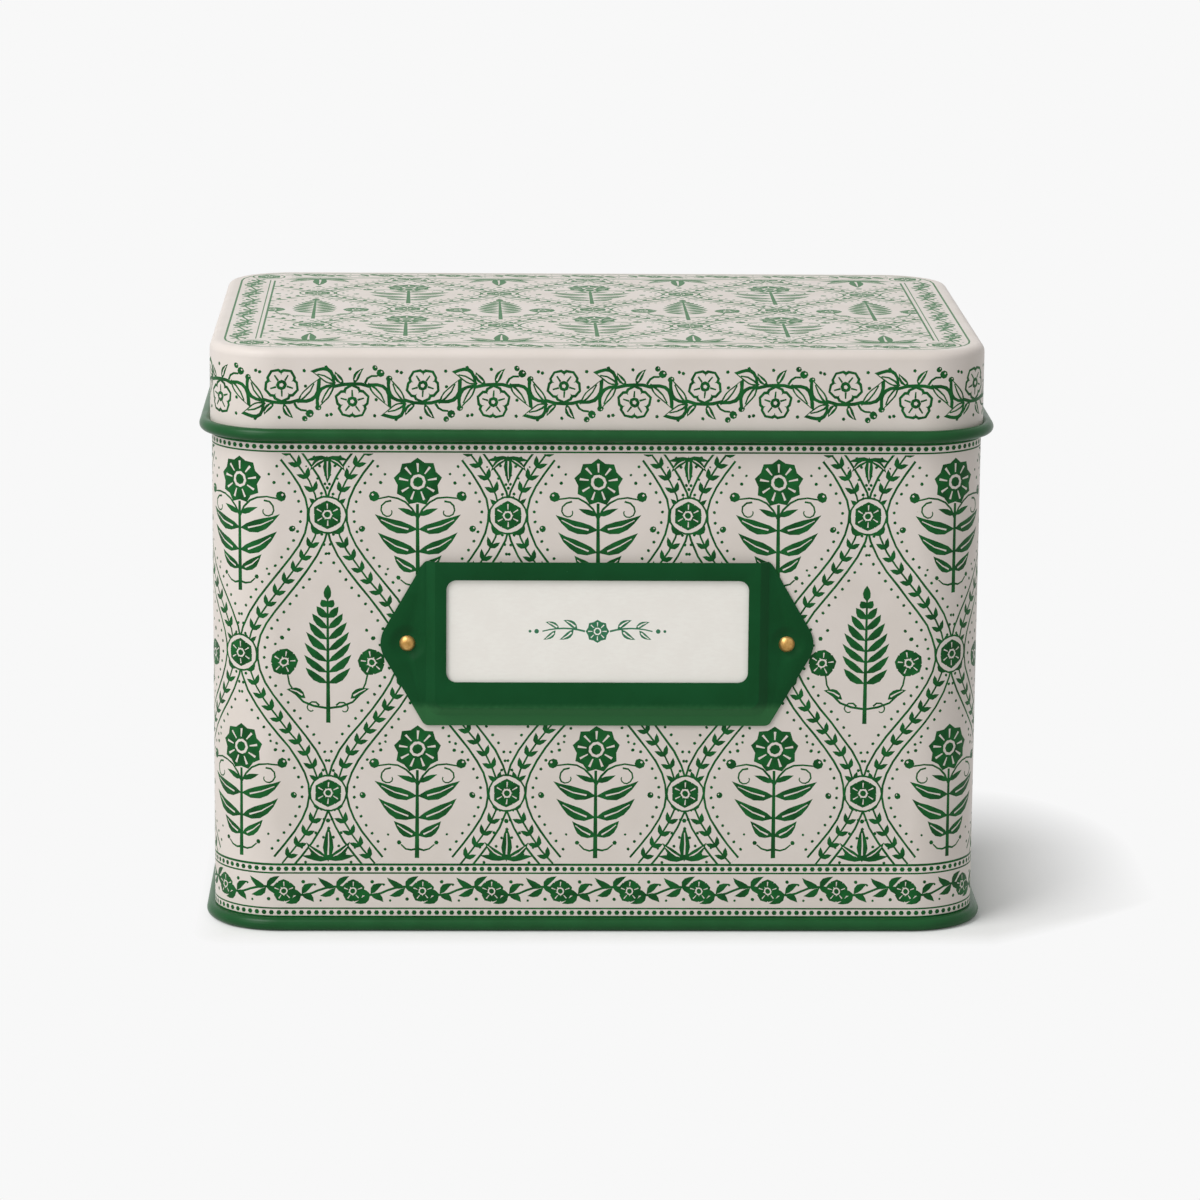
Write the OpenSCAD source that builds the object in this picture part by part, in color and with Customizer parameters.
// Recipe card box: a printed tinplate box with a hinged lid and a riveted label holder.
// The box stands on the XY plane with its centre on the Z axis. Its front faces -Y.

/* [Body] */
// Outer width of the wall wrap
body_w = 163; // [130:1:220]
// Outer depth of the wall wrap
body_d = 114.3; // [90:0.1:180]
// Height of the closed box
body_h = 125.1; // [100:0.1:180]
// Outer radius of the upright corners
corner_r = 14.4; // [10:0.1:24]
// Thickness of the tinplate
sheet = 0.3; // [0.25:0.01:0.36]
// Outer diameter of the curl round the mouth
rim_d = 2; // [1.4:0.1:2.6]
// Width of the lock seam down the back
seam_w = 5; // [3:0.1:8]
// Depth of the lock seam's folds inside the wall
seam_fold = 0.6; // [0.3:0.1:1.2]

/* [Base] */
// Height of the rolled bead round the foot
foot_h = 2.8; // [2.4:0.1:4]
// How far the rolled bead stands out from the wall
foot_out = 1.8; // [1.5:0.1:2.4]
// How far the wall's flange reaches into the rolled bead
flange = 1.1; // [0.6:0.1:1.3]
// Height of the base panel over the table
base_lift = 2; // [1.2:0.1:3]
// Distance of the raised field from the wall
field_inset = 12; // [6:0.5:25]
// Rise of the raised field
field_rise = 0.6; // [0.4:0.1:1.2]

/* [Lid] */
// Height of the lid's top over the centre of its curl
lid_depth = 17.9; // [12:0.1:22]
// Gap between the lid's skirt and the line of the wall
lid_gap = 0.05; // [0:0.05:0.6]
// Outer radius of the lid's top edge
lid_edge_r = 1.8; // [1:0.1:3]
// Outer diameter of the curl round the lid's lower edge
lid_curl_d = 2.6; // [2.4:0.1:3.4]
// Gap between the mouth's curl and the lid's top
lid_rest = 0.25; // [0.2:0.05:1]
// Gap left between the lid's front and the mouth as the lid swings up
swing_gap = 0.35; // [0.3:0.05:1]

/* [Hinge] */
// Gap between the hinge wire and the lid's curl round it
wire_grip = 0.05; // [0.02:0.01:0.08]
// Running clearance between the hinge wire and each strap
wire_play = 0.05; // [0.03:0.01:0.08]
// Distance of the hinge wire's ends from the rounded corners
wire_short = 2.1; // [0.5:0.1:6]
// Width of each hinge strap
strap_w = 16; // [8:0.5:24]
// Distance of each strap from its end of the wire
strap_inset = 12; // [4:0.5:20]
// Length of a strap under the wire
strap_drop = 13; // [6:0.5:30]
// Radius of a strap's lower corners
strap_r = 2; // [0.5:0.1:3.5]
// Gap between a strap and the notch in the lid
notch_gap = 0.5; // [0.3:0.1:1.5]

/* [Label holder] */
// Width between the ears' points, before these are rounded
holder_w = 93.2; // [91:0.1:100]
// Height of the holder
holder_h = 35.4; // [28:0.1:48]
// Height of the holder's middle over the table
holder_z = 62.6; // [45:0.1:68]
// Thickness of the holder's plate
holder_sheet = 0.5; // [0.4:0.05:0.6]
// Length of the holder's straight top edge
holder_flat = 72.8; // [70:0.1:76]
// How far the pocket's face stands out from the ears
pocket_rise = 1.6; // [1.3:0.1:1.8]
// Width of the pocket's slanted sides
pocket_bevel = 1.9; // [1.2:0.1:2.6]
// Distance of the pocket's foot from the ends of the straight top edge
pocket_edge = 0.3; // [0.2:0.1:1.5]
// Height of the flat edge under the pocket
pocket_lip = 2.2; // [1:0.1:3.5]
// Radius of the pocket's lower corners
pocket_r = 3.2; // [2:0.1:5]
// Radius of the ears' tips
ear_r = 6; // [2:0.1:9]
// Radius of the holder's other corners
holder_r = 1.6; // [0.5:0.1:3]
// Width of the window
window_w = 63.6; // [40:0.1:64]
// Height of the window
window_h = 22; // [12:0.1:22.5]
// Distance of the window from the holder's top edge
window_drop = 3.8; // [2.5:0.1:5]
// Radius of the window's corners
window_r = 2.1; // [0.5:0.1:5]

/* [Rivets] */
// Distance between the two rivets
rivet_spread = 80; // [78:0.1:81.5]
// Diameter of a rivet's shank
rivet_d = 1.9; // [1.2:0.1:2.4]
// Clearance of a rivet in its holes, on the radius
rivet_gap = 0.05; // [0.02:0.01:0.1]
// Diameter of a rivet's domed head
head_d = 3.4; // [3:0.1:4]
// Height of a rivet's domed head
head_h = 1; // [0.6:0.1:1.3]
// Diameter of a rivet's closed end
tail_d = 3; // [2.6:0.1:4]
// Height of a rivet's closed end
tail_h = 0.5; // [0.3:0.1:1]

/* [Label card] */
// Thickness of the card
card_t = 0.45; // [0.2:0.05:0.6]
// Gap between the card and the pocket's face
card_gap = 0.12; // [0.1:0.01:0.3]
// Gap between the card and the pocket's sides
card_play = 0.6; // [0.3:0.1:1.5]
// Distance of the card's top from the holder's top edge
card_inset = 0.8; // [0.3:0.1:2]
// Radius of the card's corners
card_r = 1; // [0.5:0.1:3]

/* [Hidden] */
$fn = 96;
eps = 0.01;

cream = "#d9cfc9";
green = "#14552b";
bright_tin = "#b9b9b4";
brass = "#c79a4b";
card_white = "#ece6e0";

// Steps in each rounded corner of a flat outline
arc_steps = 8;

// The lid's curl and the hinge wire inside it
curl_r = lid_curl_d / 2;
curl_out = lid_gap + curl_r;
curl_z = body_h - lid_depth;
wire_r = curl_r - sheet - wire_grip;
strap_bore_r = wire_r + wire_play;
strap_loop_r = strap_bore_r + sheet;
bend_out = lid_gap + sheet - lid_edge_r;
lid_lap = 1;
hinge_y = body_d / 2 + curl_out;
wire_l = body_w - 2 * corner_r - 2 * wire_short;
strap_x = wire_l / 2 - strap_inset - strap_w / 2;
notch_h = strap_loop_r + notch_gap;

// The wall's shoulder starts just over the underside of the lid's curl.
shoulder_lift = 0.2;
shoulder_z = curl_z - curl_r + shoulder_lift;
mouth_z = body_h - sheet - lid_rest;
rim_r = rim_d / 2;

// The lid's front edge moves back by its swing while it climbs past the mouth, so the neck steps in by more.
swing_r = body_d + curl_out + lid_gap;
swing = pow(mouth_z - curl_z, 2) / (2 * swing_r);
neck_step = swing + swing_gap - lid_gap;

// The wall's flange lies in the middle of the foot's bead.
flange_z = (foot_h - sheet) / 2;
foot_r = foot_h / 2;

// Depths of the label holder, counted out from the wall
pocket_out = holder_sheet + pocket_rise;
pocket_x = holder_flat / 2 - pocket_edge;
bevel_slope = pocket_bevel / pocket_rise;
bevel_wall = holder_sheet * sqrt(1 + pow(bevel_slope, 2));
card_front = pocket_out - holder_sheet - card_gap;
holder_top = holder_h / 2;

// How far the pocket's outside has drawn in at a given depth
function drawn_in(depth) = (depth - holder_sheet) * bevel_slope;

// Points of an outline with its corners rounded. These run anticlockwise, and each is [x, y, radius].
function rounded(corners) =
    let (n = len(corners))
    [
        for (i = [0 : n - 1])
            each corners[i][2] == 0
                ? [[corners[i][0], corners[i][1]]]
                : corner_arc(corners[(i + n - 1) % n], corners[i], corners[(i + 1) % n])
    ];

// Points of the arc that rounds the corner at b, between its neighbours a and c
function corner_arc(a, b, c) =
    let (
        start = atan2(b[1] - a[1], b[0] - a[0]) - 90,
        end = atan2(c[1] - b[1], c[0] - b[0]) - 90,
        turn = (end - start + 360) % 360,
        reach = b[2] / cos(turn / 2),
        centre = [b[0], b[1]] - reach * [cos(start + turn / 2), sin(start + turn / 2)]
    )
    [
        for (k = [0 : arc_steps])
            let (angle = start + turn * k / arc_steps)
            centre + b[2] * [cos(angle), sin(angle)]
    ];

// A profile swept round the box. Its x counts out from the wall's outer face, and its y is the height.
module wrap() {
    long_side = body_w - 2 * corner_r;
    short_side = body_d - 2 * corner_r;
    for (turn = [0 : 3]) {
        across = turn % 2 == 0 ? body_w : body_d;
        along = turn % 2 == 0 ? short_side : long_side;
        rotate(turn * 90) {
            rotate([90, 0, 0])
                linear_extrude(along, center = true)
                    translate([across / 2, 0])
                        children();
            translate([across / 2 - corner_r, along / 2])
                rotate_extrude(angle = 90)
                    translate([corner_r, 0])
                        children();
        }
    }
}

// The box's outline in plan, moved out from the wall's outer face by a distance
module plan(out) {
    r = corner_r + out;
    w = body_w + 2 * out;
    d = body_d + 2 * out;
    square([w - 2 * r, d], center = true);
    square([w, d - 2 * r], center = true);
    for (x = [-1, 1], y = [-1, 1])
        translate([x * (w / 2 - r), y * (d / 2 - r)])
            circle(r);
}

// A curled edge seen end on
module curl(r) {
    difference() {
        circle(r);
        circle(r - sheet);
    }
}

// The wall's section, from the flange in the foot to the curl round the mouth
module wall_section() {
    miter = sheet * tan(22.5);
    neck_z = shoulder_z + neck_step;
    rim_z = mouth_z - rim_r;
    polygon([
        [flange, flange_z], [flange, flange_z + sheet], [0, flange_z + sheet],
        [0, shoulder_z], [-neck_step, neck_z], [-neck_step, rim_z],
        [-neck_step - sheet, rim_z], [-neck_step - sheet, neck_z - miter],
        [-sheet, shoulder_z - miter], [-sheet, flange_z]
    ]);
    translate([-neck_step - rim_r, rim_z])
        curl(rim_r);
}

// The base's section at its rim: the rolled bead, closed round the wall's flange
module foot_section() {
    difference() {
        union() {
            translate([foot_out - foot_r, foot_r])
                circle(foot_r);
            translate([-2 * sheet, 0])
                square([2 * sheet + foot_out - foot_r, foot_h]);
        }
        wall_section();
    }
}

// The lid's section at its rim: the curl, the skirt and the bend into the flat top
module lid_section() {
    bend = [bend_out, body_h - lid_edge_r];
    translate([curl_out, curl_z])
        curl(curl_r);
    translate([lid_gap, curl_z])
        square([sheet, bend[1] - curl_z]);
    translate([bend[0] - lid_lap, body_h - sheet])
        square([lid_lap, sheet]);
    intersection() {
        translate(bend)
            difference() {
                circle(lid_edge_r);
                circle(lid_edge_r - sheet);
            }
        translate(bend)
            square(lid_edge_r);
    }
}

// Places its children on the front wall. Their x is the box's x, their y is the height and their z counts out.
module on_front() {
    translate([0, -body_d / 2, holder_z])
        rotate([90, 0, 0])
            children();
}

// The two rivets' places on the label holder
module at_rivet(side) {
    translate([side * rivet_spread / 2, 0, 0])
        children();
}

module rivet_hole() {
    reach = holder_sheet + sheet;
    translate([0, 0, -reach])
        cylinder(r = rivet_d / 2 + rivet_gap, h = 2 * reach + eps);
}

module body_wall() {
    color(cream)
        difference() {
            wrap() wall_section();
            on_front()
                for (side = [-1, 1])
                    at_rivet(side) rivet_hole();
        }
    color(bright_tin)
        lock_seam();
}

// The folds of the seam that joins the wrap's ends, inside the middle of the back
module lock_seam() {
    low = max(foot_h, base_lift + sheet);
    translate([-seam_w / 2, body_d / 2 - sheet - seam_fold, low])
        cube([seam_w, seam_fold + sheet / 2, shoulder_z - sheet - low]);
}

module base_panel() {
    color(green) {
        wrap() foot_section();
        translate([0, 0, base_lift])
            linear_extrude(sheet)
                difference() {
                    plan(-1.5 * sheet);
                    plan(-field_inset - sheet / 2);
                }
        translate([0, 0, base_lift])
            linear_extrude(field_rise + sheet)
                difference() {
                    plan(-field_inset);
                    plan(-field_inset - sheet);
                }
        translate([0, 0, base_lift + field_rise])
            linear_extrude(sheet)
                plan(-field_inset - sheet / 2);
    }
}

module lid() {
    color(cream)
        difference() {
            union() {
                wrap() lid_section();
                translate([0, 0, body_h - sheet])
                    linear_extrude(sheet)
                        plan(bend_out - lid_lap / 2);
            }
            for (side = [-1, 1])
                strap_notch(side);
        }
}

// The gap in the lid's curl and skirt that one strap turns in
module strap_notch(side) {
    w = strap_w + 2 * notch_gap;
    translate([side * strap_x - w / 2, body_d / 2 - neck_step / 2, curl_z - curl_r - eps])
        cube([w, neck_step + lid_curl_d + lid_gap, curl_r + notch_h + eps]);
}

module hinge_wire() {
    color("silver")
        translate([0, hinge_y, curl_z])
            rotate([0, 90, 0])
                cylinder(r = wire_r, h = wire_l, center = true);
}

module hinge_strap(side) {
    color(green)
        translate([side * strap_x, 0, 0]) {
            translate([0, hinge_y, curl_z])
                rotate([0, 90, 0])
                    difference() {
                        cylinder(r = strap_loop_r, h = strap_w, center = true);
                        cylinder(r = strap_bore_r, h = strap_w + 2 * eps, center = true);
                    }
            translate([0, body_d / 2 + sheet, curl_z])
                rotate([90, 0, 0])
                    linear_extrude(sheet)
                        polygon(rounded([
                            [-strap_w / 2, -strap_drop, strap_r], [strap_w / 2, -strap_drop, strap_r],
                            [strap_w / 2, 0, 0], [-strap_w / 2, 0, 0]
                        ]));
        }
}

module hinge_strap_left() { hinge_strap(-1); }

module hinge_strap_right() { hinge_strap(1); }

// The pressed plate's outline: a long hexagon with its points at the sides
module holder_outline() {
    x = holder_flat / 2;
    polygon(rounded([
        [-x, holder_top, holder_r], [-holder_w / 2, 0, ear_r],
        [-x, -holder_top, holder_r], [x, -holder_top, holder_r],
        [holder_w / 2, 0, ear_r], [x, holder_top, holder_r]
    ]));
}

// The pocket's outline in from its foot by a distance. It runs past the open top edge by another.
module pocket_outline(inset, past) {
    r = pocket_r - inset / 2;
    x = pocket_x - inset;
    low = pocket_lip - holder_top + inset;
    polygon(rounded([[-x, low, r], [x, low, r], [x, holder_top + past, 0], [-x, holder_top + past, 0]]));
}

// The pocket's slanted block between two depths, in from its outside by an inset
module pocket_block(low, high, inset, past) {
    hull() {
        translate([0, 0, low])
            linear_extrude(eps)
                pocket_outline(inset + drawn_in(low), past);
        translate([0, 0, high - eps])
            linear_extrude(eps)
                pocket_outline(inset + drawn_in(high), past);
    }
}

module window_hole() {
    low = holder_top - window_drop - window_h;
    x = window_w / 2;
    translate([0, 0, holder_sheet])
        linear_extrude(pocket_out)
            polygon(rounded([
                [-x, low, window_r], [x, low, window_r],
                [x, low + window_h, window_r], [-x, low + window_h, window_r]
            ]));
}

module label_holder() {
    color(green)
        on_front()
            difference() {
                union() {
                    linear_extrude(holder_sheet)
                        holder_outline();
                    pocket_block(holder_sheet - eps, pocket_out, 0, 0);
                }
                pocket_block(-eps, pocket_out - holder_sheet, bevel_wall, holder_sheet);
                window_hole();
                for (side = [-1, 1])
                    at_rivet(side) rivet_hole();
            }
}

module rivet(side) {
    dome_r = (pow(head_d / 2, 2) + pow(head_h, 2)) / (2 * head_h);
    color(brass)
        on_front()
            at_rivet(side) {
                intersection() {
                    translate([0, 0, holder_sheet + head_h - dome_r])
                        sphere(dome_r);
                    translate([0, 0, holder_sheet])
                        cylinder(d = head_d, h = head_h);
                }
                translate([0, 0, -sheet - tail_h])
                    cylinder(d = rivet_d, h = holder_sheet + sheet + tail_h + head_h / 2);
                translate([0, 0, -sheet - tail_h])
                    cylinder(d = tail_d, h = tail_h);
            }
}

module rivet_left() { rivet(-1); }

module rivet_right() { rivet(1); }

module label_card() {
    inset = drawn_in(card_front) + bevel_wall;
    x = pocket_x - inset - card_play;
    low = pocket_lip - holder_top + inset + card_gap;
    high = holder_top - card_inset;
    color(card_white)
        on_front()
            translate([0, 0, card_front - card_t])
                linear_extrude(card_t)
                    polygon(rounded([
                        [-x, low, card_r], [x, low, card_r], [x, high, card_r], [-x, high, card_r]
                    ]));
}

body_wall();
base_panel();
lid();
hinge_wire();
hinge_strap_left();
hinge_strap_right();
label_holder();
rivet_left();
rivet_right();
label_card();
